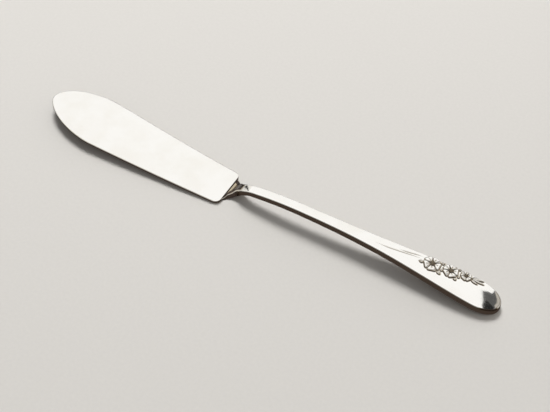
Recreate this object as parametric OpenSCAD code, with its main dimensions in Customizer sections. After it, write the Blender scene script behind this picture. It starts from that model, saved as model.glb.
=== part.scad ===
// Master butter knife, stamped from one piece of metal and silver plated.
// It is drawn zone by zone, as it lies: on the heel of its blade and the end of its handle.
// The blade runs along -X, the handle along +X, and the cutting edge faces +Y.

/* [Blade] */
// Length from the heel to the tip
blade_l = 78.4; // [60:0.4:100]
// Width at the heel, before its corners are rounded
heel_w = 15.4; // [12:0.2:18]
// Swell of the cutting edge beyond the heel
belly_out = 5.5; // [2:0.1:8]
// Distance from the tip back to the fullest place of the cutting edge
belly_back = 18.5; // [12:0.5:26]
// Swell of the spine beyond the heel
spine_out = 0.95; // [0:0.05:2]
// Distance from the tip back to where the spine begins to turn in
spine_back = 24.5; // [16:0.5:34]
// Place of the tip, from the middle line toward the cutting edge
tip_y = 3.8; // [0:0.2:6]
// Thickness of the blade
blade_t = 1.2; // [0.8:0.1:2]
// Radius of the rounded corners at the heel, seen from above
heel_r = 2.2; // [1:0.1:3.5]
// Rounding along the spine
spine_r = 0.3; // [0.1:0.05:0.6]
// Rounding along the cutting edge
edge_r = 0.5; // [0.1:0.05:0.6]
// Height of the underside over the table at the tip
tip_lift = 3.8; // [0:0.2:8]

/* [Neck] */
// Length from the heel to the start of the handle
neck_l = 12; // [9:0.5:18]
// Depth of the sharp step down behind the blade's face
heel_step = 0.3; // [0.1:0.05:0.5]
// Length of that step
heel_step_l = 0.25; // [0.1:0.05:0.6]
// Width at its slimmest place
neck_w = 3.1; // [2.6:0.1:5]
// Height of the top over the table, where the neck meets the handle
neck_h = 6.7; // [6:0.1:7.5]
// Width of the sloped shoulder on each side of the neck's foot
shoulder_w = 1.6; // [0.6:0.1:2.2]
// Distance from the heel to where the shoulders have run out
shoulder_l = 8; // [4:0.5:11]

/* [Handle] */
// Length from the neck to the end
handle_l = 89.5; // [70:0.5:120]
// Width at the slim waist beside the neck
waist_w = 3.4; // [3:0.1:6]
// Length of the waist before the handle widens
waist_l = 8; // [4:1:24]
// Width at the widest place
end_w = 10.3; // [7:0.1:14]
// Distance from the end back to the widest place
end_back = 8.5; // [7:0.5:18]
// Thickness at the waist
waist_t = 2.6; // [2:0.1:3.6]
// Thickness at the end
end_t = 3; // [2.2:0.1:3.6]
// Height of the top of the arch over the table
arch_h = 7.9; // [7.6:0.1:14]
// Distance from the neck to the top of the arch
arch_back = 18; // [12:1:30]
// Rise of the top face's middle over its sides at the widest place
crown_h = 0.25; // [0.05:0.05:0.6]
// Rounding along the upper edges
top_r = 0.2; // [0.1:0.05:0.8]
// Rounding along the lower edges
low_r = 0.6; // [0.2:0.05:1]

/* [Relief] */
// Distance from the end of the handle back to the heart of the first blossom
trail_back = 25; // [22:0.2:30]
// Height of the blossoms over the handle
blossom_h = 0.55; // [0.2:0.05:0.9]
// Height of the leaves over the handle
leaf_h = 0.4; // [0.15:0.05:0.7]
// Length of the two threads that lead to the first blossom
thread_l = 16; // [8:1:24]
// Width of a thread
thread_w = 0.42; // [0.3:0.02:0.7]
// Height of a thread over the handle
thread_h = 0.16; // [0.1:0.02:0.3]
// Petals around a blossom
petal_count = 5; // [5:1:8]

/* [Hidden] */

// Faces along the parts of the outline
tip_steps = 16;
run_steps = 10;
corner_steps = 7;
neck_steps = 26;
handle_steps = 40;
end_steps = 12;
arc_steps = 4;
crown_steps = 6;
pad_sides = 14;
pad_rings = 2;

// How full the two curves to the tip are: 2 is an ellipse
belly_full_share = 1.9;
spine_full_share = 1.7;
end_full_share = 2.1;
// How the cutting edge leaves the belly and runs to the heel
belly_turn_share = 0.08;
belly_run_share = 1.25;
// How fast the neck narrows behind the heel
neck_fade_share = 4.6;
// How fast the arch rises from the neck, and how late it falls to the end
arch_rise_share = 2.2;
arch_fall_share = 2.4;
// How late the handle widens from its waist
widen_share = 1.65;
// Share of the handle's length over which it grows from its waist to its full thickness
thicken_share = 0.5;
// The blunt ends keep this share of the thickness as a flat
blunt_share = 0.03;
// Most of a wall that a rounding may take
round_share = 0.48;

// Top of the neck: places along it, and shares of the rise from the step to the handle
neck_top_shares = [
  [0, 0], [0.07, 0.005], [0.12, 0.07], [0.2, 0.224], [0.29, 0.394], [0.38, 0.553], [0.47, 0.677],
  [0.58, 0.789], [0.7, 0.872], [0.85, 0.943], [1, 1]];
// Underside of the neck, in the same way
neck_low_shares = [[0, 0], [0.1, 0.01], [0.22, 0.12], [0.38, 0.38], [0.55, 0.67], [0.75, 0.89], [1, 1]];

// Blossoms: radius and place across, both as shares of half the handle's width there
blossom_r_shares = [0.68, 0.54, 0.36];
blossom_y_shares = [0.4, 0.52, 0.7];
// Distance between neighbouring blossoms, as a share of their radii together
blossom_gap_shares = [1.23, 1.18];
// Heart of a blossom, as a share of its radius, and the bare ring round it
heart_share = 0.3;
heart_gap_share = 0.86;
// Width that a petal takes of its sector
petal_share = 0.9;
// Share of a pad's height that stands as a wall at its rim
rim_share = 0.4;
// Leaves: blossom that they spring from, angle round it, start, length and width
// The last three are shares of that blossom's radius
leaf_shares = [
  [0, -163, 1.06, 0.42, 0.3], [0, -33, 1.08, 0.5, 0.32], [0, -10, 1.1, 0.32, 0.3], [0, 34, 1.08, 0.4, 0.28],
  [1, -42, 1.08, 0.36, 0.32], [1, -14, 1.1, 0.3, 0.3], [1, 44, 1.08, 0.36, 0.28]];
// Slim leaves of the spray: angle, start, length and width, the last three as shares of the last radius
spray_shares = [[13.5, 1.1, 2.1, 0.34], [2, 1.1, 2.3, 0.34], [-12, 1.12, 1.3, 0.32]];
// Threads: start and end across the handle, as shares of half its width, and share of the length
thread_shares = [[-0.12, 0.42, 1], [0.42, 0.7, 0.5]];
// Width and height of a thread at its two ends, as a share of those at its middle
thin_share = 0.4;
thread_steps = 14;

// Places along the knife, from the heel at zero
handle_x = neck_l;
end_x = neck_l + handle_l;
arch_x = handle_x + arch_back;
rest_x = end_x - end_t / 2;
heel_half = heel_w / 2 - heel_r;

// The model is centred over the middle of its outline
shift_x = (blade_l - end_x) / 2;
shift_y = (spine_out - belly_out) / 2;

function square_of(a) = a * a;
function mix(a, b, s) = a + (b - a) * s;
function clamp(s) = max(0, min(1, s));
function glide(s) = s * s * (3 - 2 * s);
function bow(s, full) = pow(1 - pow(1 - clamp(s), full), 1 / full);
function eased(s, turn) = (sqrt(s * s + turn * turn) - turn) / (sqrt(1 + turn * turn) - turn);
function fade(s, rate) = (exp(-rate * s) - exp(-rate)) / (1 - exp(-rate));

// Slope of a table at one row, taken through its neighbours
function row_slope(table, i) =
  let (a = table[max(i - 1, 0)], b = table[min(i + 1, len(table) - 1)])
  (b[1] - a[1]) / (b[0] - a[0]);

// Row of a table below a place
function row_below(table, s, i = 0) =
  i >= len(table) - 2 || s < table[i + 1][0] ? i : row_below(table, s, i + 1);

// Smooth curve through the rows of a table
function through(table, s) =
  let (i = row_below(table, s),
       a = table[i], b = table[i + 1],
       w = b[0] - a[0],
       t = (s - a[0]) / w,
       ka = row_slope(table, i) * w,
       kb = row_slope(table, i + 1) * w)
  a[1] * (1 + 2 * t) * square_of(1 - t) + ka * t * square_of(1 - t)
  + b[1] * (3 - 2 * t) * t * t + kb * (t - 1) * t * t;

// Edges of the blade at a distance back from the tip
function heel_corner(d) =
  d < blade_l - heel_r ? 0 : heel_r - sqrt(max(0, square_of(heel_r) - square_of(d - blade_l + heel_r)));
function cutting_edge(d) =
  d < belly_back
  ? mix(tip_y, heel_w / 2 + belly_out, bow(d / belly_back, belly_full_share))
  : heel_w / 2 - heel_corner(d)
    + belly_out * pow(1 - eased((d - belly_back) / (blade_l - belly_back), belly_turn_share), belly_run_share);
function spine_edge(d) =
  d < spine_back
  ? mix(tip_y, -heel_w / 2 - spine_out, bow(d / spine_back, spine_full_share))
  : heel_corner(d) - heel_w / 2
    - spine_out * (1 - square_of((d - spine_back) / (blade_l - spine_back)));
function blade_low(x) = -x * tip_lift / blade_l;

// Depth that a rounded rim takes from both faces near an end
function rim_cut(d, r) = d > r ? 0 : r - sqrt(max(0, square_of(r) - square_of(r - d)));

// Handle: half its width, thickness, and the height of its top face's sides
function widened(x) = glide(pow(clamp((x - handle_x - waist_l) / (end_x - end_back - handle_x - waist_l)), widen_share));
function handle_half(x) =
  x < end_x - end_back
  ? mix(waist_w, end_w, widened(x)) / 2
  : end_w / 2 * bow((end_x - x) / end_back, end_full_share);
function handle_t(x) = mix(waist_t, end_t, glide(clamp((x - handle_x) / (handle_l * thicken_share))));
function arch_top(x) =
  x < arch_x
  ? arch_h - (arch_h - neck_h) * pow(1 - clamp((x - handle_x) / arch_back), arch_rise_share)
  : arch_h - (arch_h - handle_t(rest_x)) * pow(clamp((x - arch_x) / (rest_x - arch_x)), arch_fall_share);
function crown(x) = crown_h * min(1, 2 * handle_half(x) / end_w);

// Height of the handle's skin at a place on its upper side
function skin_z(x, y) =
  let (half = handle_half(x), flat = half - top_r, out = abs(y) - flat)
  out < 0
  ? arch_top(x) + crown(x) * (1 - square_of(y / flat))
  : arch_top(x) - top_r + sqrt(max(0, square_of(top_r) - square_of(out)));

// Quarter of an ellipse in a section, from one angle over ninety degrees
function quarter(x, y, z, wide, tall, from) =
  [for (i = [0 : arc_steps]) let (a = from + 90 * i / arc_steps) [x, y + wide * cos(a), z + tall * sin(a)]];

// Section across the knife, a bar with rounded edges and a crowned top
// The radii are those at the low spine side, low cutting side, top cutting side and top spine side
// Where a fall is given, both top edges drop by it over the width of their radius
function section(x, y0, y1, z0, z1, radii, rise, fall = 0) =
  let (most = round_share * min(z1 - z0, y1 - y0),
       r = [for (q = radii) min(q, most)],
       wide = [for (q = radii) min(q, fall > 0 ? round_share * (y1 - y0) : most)],
       left = y0 + wide[3], right = y1 - wide[2], mid = (left + right) / 2, flat = (right - left) / 2,
       tall = fall > 0 ? [fall, fall] : [r[2], r[3]])
  concat(
    quarter(x, y0 + r[0], z0 + r[0], r[0], r[0], 180),
    quarter(x, y1 - r[1], z0 + r[1], r[1], r[1], 270),
    quarter(x, right, z1 - tall[0], wide[2], tall[0], 0),
    [for (i = [1 : crown_steps - 1])
      let (v = 1 - 2 * i / crown_steps) [x, mid + v * flat, z1 + rise * (1 - v * v)]],
    quarter(x, left, z1 - tall[1], wide[3], tall[1], 90));

// Closed solid through a row of sections
module loft(rings) {
  n = len(rings[0]);
  last = len(rings) - 1;
  sides = [for (i = [0 : last - 1], j = [0 : n - 1])
    let (a = i * n + j, b = i * n + (j + 1) % n)
    each [[a, a + n, b + n], [a, b + n, b]]];
  near_cap = [for (j = [0 : n - 1]) j];
  far_cap = [for (j = [n - 1 : -1 : 0]) last * n + j];
  polyhedron(points = [for (ring = rings) each ring], faces = concat(sides, [near_cap, far_cap]));
}

function blade_section(d) =
  let (e = max(d, blade_t * blunt_share),
       x = d - blade_l,
       cut = rim_cut(e, spine_r),
       low = blade_low(x))
  section(x, spine_edge(e), cutting_edge(e), low + cut, low + blade_t - cut,
    [spine_r, edge_r, edge_r, spine_r], 0);

// The neck narrows from the heel, drops behind the step and rises to the handle
function neck_section(x) =
  let (s = x / neck_l,
       slim = mix(neck_w / 2, heel_half, fade(s, neck_fade_share)),
       half = mix(slim, waist_w / 2, square_of(square_of(s))),
       foot = blade_t - heel_step,
       high = foot + heel_step * (1 - clamp(x / heel_step_l)) + (neck_h - foot) * through(neck_top_shares, s),
       low = (neck_h - waist_t) * through(neck_low_shares, s),
       out = glide(clamp(x / shoulder_l)),
       shoulder = mix(shoulder_w, top_r, out),
       fall = mix((high - low) * round_share, top_r, out))
  section(x, -half, half, low, high,
    [mix(spine_r, low_r, s), mix(edge_r, low_r, s), shoulder, shoulder], crown(handle_x) * s, fall);

function handle_section(x) =
  let (e = min(x, end_x - end_t * blunt_share),
       half = handle_half(e),
       t = handle_t(min(x, rest_x)),
       cut = t * round_share * (1 - bow((end_x - e) / (end_t / 2), 2)),
       top = arch_top(x))
  section(x, -half, half, top - t + cut, top - cut,
    [low_r, low_r, top_r, top_r], crown(e));

// Pad of relief laid on the handle: a rim, a domed top and a seat that follows the skin
module pad(outline, heart, height) {
  n = len(outline);
  shrink = [for (k = [0 : pad_rings - 1]) 1 - k / pad_rings];
  function lay(p, lift) = [p[0], p[1], skin_z(p[0], p[1]) + lift];
  function layer(tall) = concat(
    [for (s = shrink, p = outline) lay(mix(heart, p, s), tall * mix(1, rim_share, s * s))],
    [lay(heart, tall)]);
  size = n * pad_rings + 1;
  top = [for (k = [0 : pad_rings - 2], j = [0 : n - 1])
    let (a = k * n + j, b = k * n + (j + 1) % n)
    each [[a, a + n, b + n], [a, b + n, b]]];
  cap = [for (j = [0 : n - 1])
    let (a = (pad_rings - 1) * n + j, b = (pad_rings - 1) * n + (j + 1) % n)
    [a, size - 1, b]];
  wall = [for (j = [0 : n - 1])
    let (b = (j + 1) % n)
    each [[j, b, size + b], [j, size + b, size + j]]];
  under = [for (f = concat(top, cap)) [size + f[2], size + f[1], size + f[0]]];
  polyhedron(points = concat(layer(height), layer(0)), faces = concat(top, cap, wall, under));
}

function turned(p, a) = [p[0] * cos(a) - p[1] * sin(a), p[0] * sin(a) + p[1] * cos(a)];
function along(s) = (1 - cos(s)) / 2;

// Blossoms stand in a row that follows the edge of the handle
blossom_x0 = end_x - trail_back;
blossom_r0 = handle_half(blossom_x0) * blossom_r_shares[0];
function blossom_x(i) =
  i == 0 ? blossom_x0
  : blossom_x(i - 1) + blossom_gap_shares[i - 1] * blossom_r(i - 1)
    * (1 + blossom_r_shares[i] / blossom_r_shares[i - 1]);
function blossom_r(i) = handle_half(blossom_x(i)) * blossom_r_shares[i];
function blossom_at(i) = [blossom_x(i), handle_half(blossom_x(i)) * blossom_y_shares[i]];

// Petal: round at its outer end, and as wide as its sector lets it be
module petal(at, r, turn) {
  inner = r * heart_share;
  outline = [for (j = [0 : pad_sides - 1])
    let (a = 360 * j / pad_sides, u = mix(inner, r, along(a)),
         v = u * tan(180 / petal_count) * petal_share * sign(sin(a)) * pow(abs(sin(a)), 0.8))
    at + turned([u, v], turn)];
  pad(outline, at + turned([mix(inner, r, 0.55), 0], turn), blossom_h);
}

// Leaf: pointed at both ends, broadest before its middle
module leaf(at, turn, start, length, width, height) {
  outline = [for (j = [0 : pad_sides - 1])
    let (a = 360 * j / pad_sides, u = along(a),
         v = sign(sin(a)) * width / 2 * sin(180 * pow(u, 0.8)))
    at + turned([start + u * length, v], turn)];
  pad(outline, at + turned([start + length * 0.45, 0], turn), height);
}

module blade() {
  straight = blade_l - heel_r - spine_back;
  color("#e9e9e6") loft([
    for (i = [0 : tip_steps]) blade_section(spine_back * (1 - cos(90 * i / tip_steps))),
    for (i = [1 : run_steps]) blade_section(spine_back + straight * i / run_steps),
    for (i = [1 : corner_steps]) blade_section(blade_l - heel_r * (1 - sin(90 * i / corner_steps)))]);
}

module neck() {
  color("#cfcac2") loft([
    neck_section(0),
    for (i = [0 : neck_steps]) neck_section(mix(heel_step_l, neck_l, pow(i / neck_steps, 1.2)))]);
}

module handle() {
  body_end = end_x - end_back / 2;
  color("#e4e3df") loft([
    for (i = [0 : handle_steps]) handle_section(mix(handle_x, body_end, i / handle_steps)),
    for (i = [1 : end_steps]) handle_section(mix(body_end, end_x, sin(90 * i / end_steps)))]);
}

// Thread of half-round section that runs toward the first blossom
module thread(from_share, to_share, length) {
  stop = blossom_x0 - blossom_r0 - thread_w * 2;
  rings = [for (i = [0 : thread_steps])
    let (s = i / thread_steps,
         x = stop - length * (1 - s),
         y = handle_half(x) * mix(from_share, to_share, glide(s)),
         thin = mix(thin_share, 1, min(1, 3 * min(s, 1 - s))))
    [for (k = [-2 : 2])
      let (q = y + k * thread_w * thin / 4, rise = thread_h * thin * (1 - k * k / 5))
      [x, q, skin_z(x, q) + rise]]];
  seat = [for (ring = rings) [for (k = [4 : -1 : 0]) [ring[k][0], ring[k][1], skin_z(ring[k][0], ring[k][1])]]];
  loft([for (i = [0 : thread_steps]) concat(seat[i], rings[i])]);
}

module stem_thread() {
  color("#b9b6b0")
    for (t = thread_shares) thread(t[0], t[1], thread_l * t[2]);
}

module blossoms() {
  color("#f2f1ec")
    for (i = [0 : len(blossom_r_shares) - 1], k = [0 : petal_count - 1])
      petal(blossom_at(i), blossom_r(i), 360 * k / petal_count + 90 / petal_count * i);
}

module blossom_centres() {
  color("#8f8a80")
    for (i = [0 : len(blossom_r_shares) - 1]) {
      r = blossom_r(i) * heart_share * heart_gap_share;
      pad([for (j = [0 : pad_sides - 1]) blossom_at(i) + turned([r, 0], 360 * j / pad_sides)],
        blossom_at(i), blossom_h);
    }
}

module leaves() {
  color("#dcdad4")
    for (row = leaf_shares) {
      r = blossom_r(row[0]);
      leaf(blossom_at(row[0]), row[1], r * row[2], r * row[3], r * row[4], leaf_h);
    }
}

module end_leaf_spray() {
  final = len(blossom_r_shares) - 1;
  r = blossom_r(final);
  color("#d2d0ca")
    for (row = spray_shares)
      leaf(blossom_at(final), row[0], r * row[1], r * row[2], r * row[3], leaf_h);
}

translate([shift_x, shift_y, 0]) {
  blade();
  neck();
  handle();
  stem_thread();
  blossoms();
  blossom_centres();
  leaves();
  end_leaf_spray();
}
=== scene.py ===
import math

import bmesh
import bpy
import numpy as np
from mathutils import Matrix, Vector


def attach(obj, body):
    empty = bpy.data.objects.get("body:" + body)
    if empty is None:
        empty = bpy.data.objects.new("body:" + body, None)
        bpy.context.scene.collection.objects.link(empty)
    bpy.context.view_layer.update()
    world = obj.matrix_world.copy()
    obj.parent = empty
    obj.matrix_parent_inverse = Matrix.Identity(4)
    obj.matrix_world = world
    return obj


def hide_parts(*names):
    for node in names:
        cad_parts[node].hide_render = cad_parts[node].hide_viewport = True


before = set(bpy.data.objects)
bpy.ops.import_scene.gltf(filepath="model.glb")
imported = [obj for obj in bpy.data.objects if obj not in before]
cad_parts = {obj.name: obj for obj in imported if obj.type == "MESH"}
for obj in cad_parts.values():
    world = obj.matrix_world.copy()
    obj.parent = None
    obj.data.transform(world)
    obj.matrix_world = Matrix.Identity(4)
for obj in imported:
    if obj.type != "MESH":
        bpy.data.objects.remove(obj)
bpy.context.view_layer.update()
print("frame loaded")

mm = 0.001  # every size below is in millimetres, with the blade's heel at x = 0


def mix(a, b, s):
    return a + (b - a) * s


def glide(s):  # a smooth step from 0 to 1
    s = np.clip(s, 0, 1)
    return s * s * (3 - 2 * s)


def easeIn(x, start, width):  # 0 up to the start, then up to 1 over the width
    return glide((x - start) / width)


def easeOff(x, start, width):  # the other way round
    return 1 - easeIn(x, start, width)


def bow(s, full):  # a quarter of a superellipse: 0 at the end, 1 at the widest place
    return (1 - (1 - np.clip(s, 0, 1)) ** full) ** (1 / full)


def eased(s, turn):  # a straight run that starts with a soft turn
    return (np.sqrt(s * s + turn * turn) - turn) / (math.sqrt(1 + turn * turn) - turn)


def fade(s, rate):  # from 1 down to 0, fast at first
    return (np.exp(-rate * s) - math.exp(-rate)) / (1 - math.exp(-rate))


def bump(s, width):
    return np.exp(-((s / width) ** 2))


def through(table, s):  # smooth curve through rows of place and value
    places, values = np.array(table, float).T
    slopes = np.empty(len(places))
    slopes[1:-1] = (values[2:] - values[:-2]) / (places[2:] - places[:-2])
    slopes[0] = (values[1] - values[0]) / (places[1] - places[0])
    slopes[-1] = (values[-1] - values[-2]) / (places[-1] - places[-2])
    i = np.clip(np.searchsorted(places, s, side="right") - 1, 0, len(places) - 2)
    width = places[i + 1] - places[i]
    t = (s - places[i]) / width
    start = values[i] * (1 + 2 * t) + slopes[i] * width * t
    stop = values[i + 1] * (3 - 2 * t) + slopes[i + 1] * width * (t - 1)
    return start * (1 - t) ** 2 + stop * t * t


def outward(line, closed):  # unit normals of a plan outline that runs clockwise seen from above
    if closed:
        ahead, behind = np.roll(line, -1, 0), np.roll(line, 1, 0)
    else:
        ahead, behind = np.vstack([line[1:], line[-1:]]), np.vstack([line[:1], line[:-1]])
    after, before = ahead - line, line - behind
    reach = [np.maximum(np.linalg.norm(v, axis=1, keepdims=True), 1e-9) for v in (after, before)]
    along = after / reach[0] ** 2 * reach[1] + before / reach[1] ** 2 * reach[0]
    along /= np.linalg.norm(along, axis=1, keepdims=True)
    return np.column_stack([-along[:, 1], along[:, 0]])


def linear(code):  # sRGB hex to the linear colour that Blender takes
    parts = [int(code[i : i + 2], 16) / 255 for i in (1, 3, 5)]
    return (*(c / 12.92 if c <= 0.04045 else ((c + 0.055) / 1.055) ** 2.4 for c in parts), 1)


def addNode(tree, kind, settings=None, inputs=None):
    node = tree.nodes.new(kind)
    for key, value in (settings or {}).items():
        setattr(node, key, value)
    for key, value in (inputs or {}).items():
        if isinstance(value, bpy.types.NodeSocket):
            tree.links.new(value, node.inputs[key])
        else:
            node.inputs[key].default_value = value
    return node


silverLook = {
    "fresh": "#faf8f3",  # freshly buffed silver
    "handled": "#f6f3ec",  # where years of washing have left it a little warmer
    # colours that a film of sulphide takes as it thickens, where no cloth reaches; the same colours paint
    # shade and dark reflections on the neck and the handle's end
    "filmAndShade": [(0.34, "#b8a98e"), (0.62, "#5b4d45"), (1.0, "#25211e")],
    "mottle": 0.5,  # mm across a patch in the film
    "roughness": 0.05,
    "hairlineRough": 0.05,  # what the hairlines, the haze and the film add to it
    "hazeRough": 0.025,
    "filmRough": 0.3,
    "hairline": 0.22,  # mm, drawn coarser than the real 0.02 mm so that it shows at all
    "hairlineRun": 7.0,  # mm
    "hairlineRise": 2.0,  # mm of height over which the pattern changes
    "hairlineTurns": [(6, 0.66), (-17, 0.68), (58, 0.7)],  # degrees, and how sparse they are
    "hairlineDepth": 0.0005,  # mm
    "cloud": 11.0,  # mm across a patch of handling haze
}


def silverPlate(name, look):
    # Silver plate over stamped nickel silver, buffed to a mirror: the eye gets clean reflections,
    # a faint haze of hairlines from washing and wiping, and black sulphide in the deep hollows.
    # the same dark marks also carry painted shade and painted dark reflections on the neck and at the
    # handle's end
    material = bpy.data.materials.new(name)
    material.use_nodes = True
    tree = material.node_tree
    tree.nodes.clear()
    place = addNode(tree, "ShaderNodeTexCoord").outputs["Object"]

    strength = None
    for turn, sparse in look["hairlineTurns"]:
        lie = addNode(tree, "ShaderNodeMapping", inputs={
            "Vector": place,
            "Rotation": (0, 0, math.radians(turn)),
            "Scale": [1 / (look[size] * mm) for size in ("hairlineRun", "hairline", "hairlineRise")],
        })
        grain = addNode(tree, "ShaderNodeTexNoise", inputs={
            "Vector": lie.outputs["Vector"], "Scale": 1.0, "Detail": 1.0})
        line = addNode(tree, "ShaderNodeMapRange", inputs={
            "Value": grain.outputs["Fac"], "From Min": sparse, "From Max": sparse + 0.06})
        if strength is None:
            strength = line.outputs["Result"]
        else:
            strength = addNode(tree, "ShaderNodeMath", {"operation": "MAXIMUM"}, {
                0: strength, 1: line.outputs["Result"]}).outputs["Value"]

    cloud = addNode(tree, "ShaderNodeTexNoise", inputs={
        "Vector": place, "Scale": 1 / (look["cloud"] * mm), "Detail": 3.0})
    haze = addNode(tree, "ShaderNodeMapRange", inputs={
        "Value": cloud.outputs["Fac"], "From Min": 0.42, "From Max": 0.68})

    patinaAndPaintedShade = addNode(tree, "ShaderNodeAttribute", {"attribute_name": "patinaAndPaintedShade"}).outputs["Fac"]
    mottle = addNode(tree, "ShaderNodeTexNoise", inputs={
        "Vector": place, "Scale": 1 / (look["mottle"] * mm), "Detail": 2.0})
    uneven = addNode(tree, "ShaderNodeMapRange", inputs={
        "Value": mottle.outputs["Fac"], "From Min": 0.3, "From Max": 0.6,
        "To Min": 0.75, "To Max": 1.0})
    dark = addNode(tree, "ShaderNodeMath", {"operation": "MULTIPLY"}, {
        0: patinaAndPaintedShade, 1: uneven.outputs["Result"]}).outputs["Value"]

    tone = addNode(tree, "ShaderNodeMix", {"data_type": "RGBA"}, {
        0: haze.outputs["Result"], 6: linear(look["fresh"]), 7: linear(look["handled"])})
    filmAndShade = addNode(tree, "ShaderNodeValToRGB", inputs={"Fac": dark})
    stops = filmAndShade.color_ramp.elements
    while len(stops) < len(look["filmAndShade"]):
        stops.new(0.5)
    for stop, (share, code) in zip(stops, look["filmAndShade"]):
        stop.position = share
        stop.color = linear(code)
    cover = addNode(tree, "ShaderNodeMapRange", inputs={"Value": dark, "From Max": look["filmAndShade"][0][0]})
    colour = addNode(tree, "ShaderNodeMix", {"data_type": "RGBA"}, {
        0: cover.outputs["Result"], 6: tone.outputs[2], 7: filmAndShade.outputs["Color"]})

    scuff = addNode(tree, "ShaderNodeMath", {"operation": "MULTIPLY_ADD"}, {
        0: strength, 1: look["hairlineRough"], 2: look["roughness"]})
    dulled = addNode(tree, "ShaderNodeMath", {"operation": "MULTIPLY_ADD"}, {
        0: haze.outputs["Result"], 1: look["hazeRough"], 2: scuff.outputs["Value"]})
    rough = addNode(tree, "ShaderNodeMath", {"operation": "MULTIPLY_ADD"}, {
        0: dark, 1: look["filmRough"], 2: dulled.outputs["Value"]})

    scratched = addNode(tree, "ShaderNodeBump", {"invert": True}, {
        "Strength": 0.6, "Distance": look["hairlineDepth"] * mm, "Height": strength})
    surface = addNode(tree, "ShaderNodeBsdfPrincipled", inputs={
        "Base Color": colour.outputs[2],
        "Metallic": 1.0,
        "Roughness": rough.outputs["Value"],
        "Normal": scratched.outputs["Normal"],
    })
    addNode(tree, "ShaderNodeOutputMaterial", inputs={"Surface": surface.outputs["BSDF"]})
    return material


polishedPlate = silverPlate("polishedSilverPlate", silverLook)
# the hearts of the blossoms keep their sulphide, so the eye gets a dull grey there
oxidisedPlate = silverPlate("oxidisedSilverPlate", {
    **silverLook, "fresh": "#8d867a", "handled": "#6d665b", "roughness": 0.22})
print("materials ready")


def shell(rows, marks=None, loop=False):
    # rows is (rows, columns, 3); neighbouring rows and columns are joined by faces
    rowCount, count = rows.shape[:2]
    span = count if loop else count - 1
    faces = []
    for i in range(rowCount - 1):
        for j in range(span):
            k = (j + 1) % count
            faces.append((i * count + j, i * count + k, (i + 1) * count + k, (i + 1) * count + j))
    patinaAndShade = np.zeros(rows.shape[:2]) if marks is None else marks
    return rows.reshape(-1, 3), faces, patinaAndShade.reshape(-1)


def makePiece(name, shells, material, node):
    weld, crease = 0.0005 * mm, math.radians(42)
    places, faces, patinaAndShade, start = [], [], [], 0
    for rows, quads, marks in shells:
        places.append(rows)
        patinaAndShade.append(marks)
        faces += [tuple(v + start for v in quad) for quad in quads]
        start += len(rows)
    places = (np.vstack(places) + shift) * mm
    mesh = bpy.data.meshes.new(name)
    mesh.from_pydata(places.tolist(), [], faces)
    # dark marks: real sulphide in the relief's hollows, and painted shade on the neck and at the handle's
    # end
    mark = mesh.attributes.new("patinaAndPaintedShade", "FLOAT", "POINT")
    mark.data.foreach_set("value", np.concatenate(patinaAndShade).astype(np.float32))
    edit = bmesh.new()
    edit.from_mesh(mesh)
    bmesh.ops.remove_doubles(edit, verts=edit.verts, dist=weld)
    bmesh.ops.holes_fill(edit, edges=[e for e in edit.edges if e.is_boundary])
    bmesh.ops.recalc_face_normals(edit, faces=edit.faces)
    edit.to_mesh(mesh)
    edit.free()
    mesh.polygons.foreach_set("use_smooth", [True] * len(mesh.polygons))
    mesh.set_sharp_from_angle(angle=crease)
    piece = bpy.data.objects.new(name, mesh)
    bpy.context.scene.collection.objects.link(piece)
    piece.data.materials.append(material)
    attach(piece, "root")
    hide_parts(node)
    return piece


def plate(outline, core, closed, topZ, lowZ, topR, lowR, lowDeep, innerRows, rimSteps=7, lowRows=4):
    # A plate between two faces with a rounded rim: rows run from the core line over the top face,
    # round the rim and back under to the core line.
    closeRow, leastWall = 0.05, 0.08
    normal = outward(outline, closed)
    topR, lowR = topR[:, None], lowR[:, None]
    inset = outline - normal * topR
    reach = np.linalg.norm(inset - core, axis=1, keepdims=True)
    rows = [mix(core, inset, k) for k in innerRows]
    rows.append(mix(core, inset, 1 - np.minimum(closeRow / reach, 0.02)))  # keeps the face flat there
    rows = [np.column_stack([p, topZ(p)]) for p in rows]
    high = topZ(inset)[:, None]
    for a in np.linspace(0, math.pi / 2, rimSteps + 1):
        p = outline - normal * topR * (1 - math.sin(a))
        rows.append(np.column_stack([p, high - topR * (1 - math.cos(a))]))
    under = outline - normal * lowR
    low = lowZ(under)[:, None]
    wallTop = rows[-1][:, 2:]
    deep = np.minimum(lowDeep, wallTop - low - leastWall)
    for k in (0.3, 0.7):
        rows.append(np.column_stack([outline, mix(wallTop, low + deep, k)]))
    for a in np.linspace(math.pi / 2, 0, rimSteps + 3):
        p = outline - normal * lowR * (1 - math.sin(a))
        rows.append(np.column_stack([p, low + deep * (1 - math.cos(a))]))
    for k in [0.03, *np.linspace(0.15, 1, lowRows)]:
        p = mix(under, core, k)
        rows.append(np.column_stack([p, lowZ(p)]))
    return np.array(rows)


blade = {
    "length": 78.4,
    "heelWidth": 15.4,
    "bellyOut": 5.5,  # swell of the cutting edge
    "bellyBack": 18.5,  # its widest place, from the tip
    "bellyFull": 1.9,
    "bellyTurn": 0.08,
    "bellyRun": 1.25,
    "spineOut": 0.95,
    "spineBack": 24.5,
    "spineFull": 1.7,
    "tipY": 3.8,
    "tipLift": 3.8,
    "thickness": 1.2,
    "crown": 0.1,  # fall of the face at the edges, from buffing
    "crownHalf": 8,  # from the middle line to where it has fallen by that
    "crownRun": (12, 74),  # from the tip, where that line follows the outline
    "heelCorner": 2.2,
    "spineRounding": 0.3,
    "edgeRounding": 0.5,
    "heelRounding": 0.06,
    "heelLowRounding": 0.03,
    "lowDeep": 0.55,  # height of the rounding under the rim
    "coreTip": 9.0,  # where the middle line of the rows starts and stops, from the tip and the heel
    "coreHeel": 5.0,
}


def heelCorner(d):  # d runs back from the tip
    r, start = blade["heelCorner"], blade["length"] - blade["heelCorner"]
    return np.where(d < start, 0, r - np.sqrt(np.maximum(0, r * r - (d - start) ** 2)))


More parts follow.
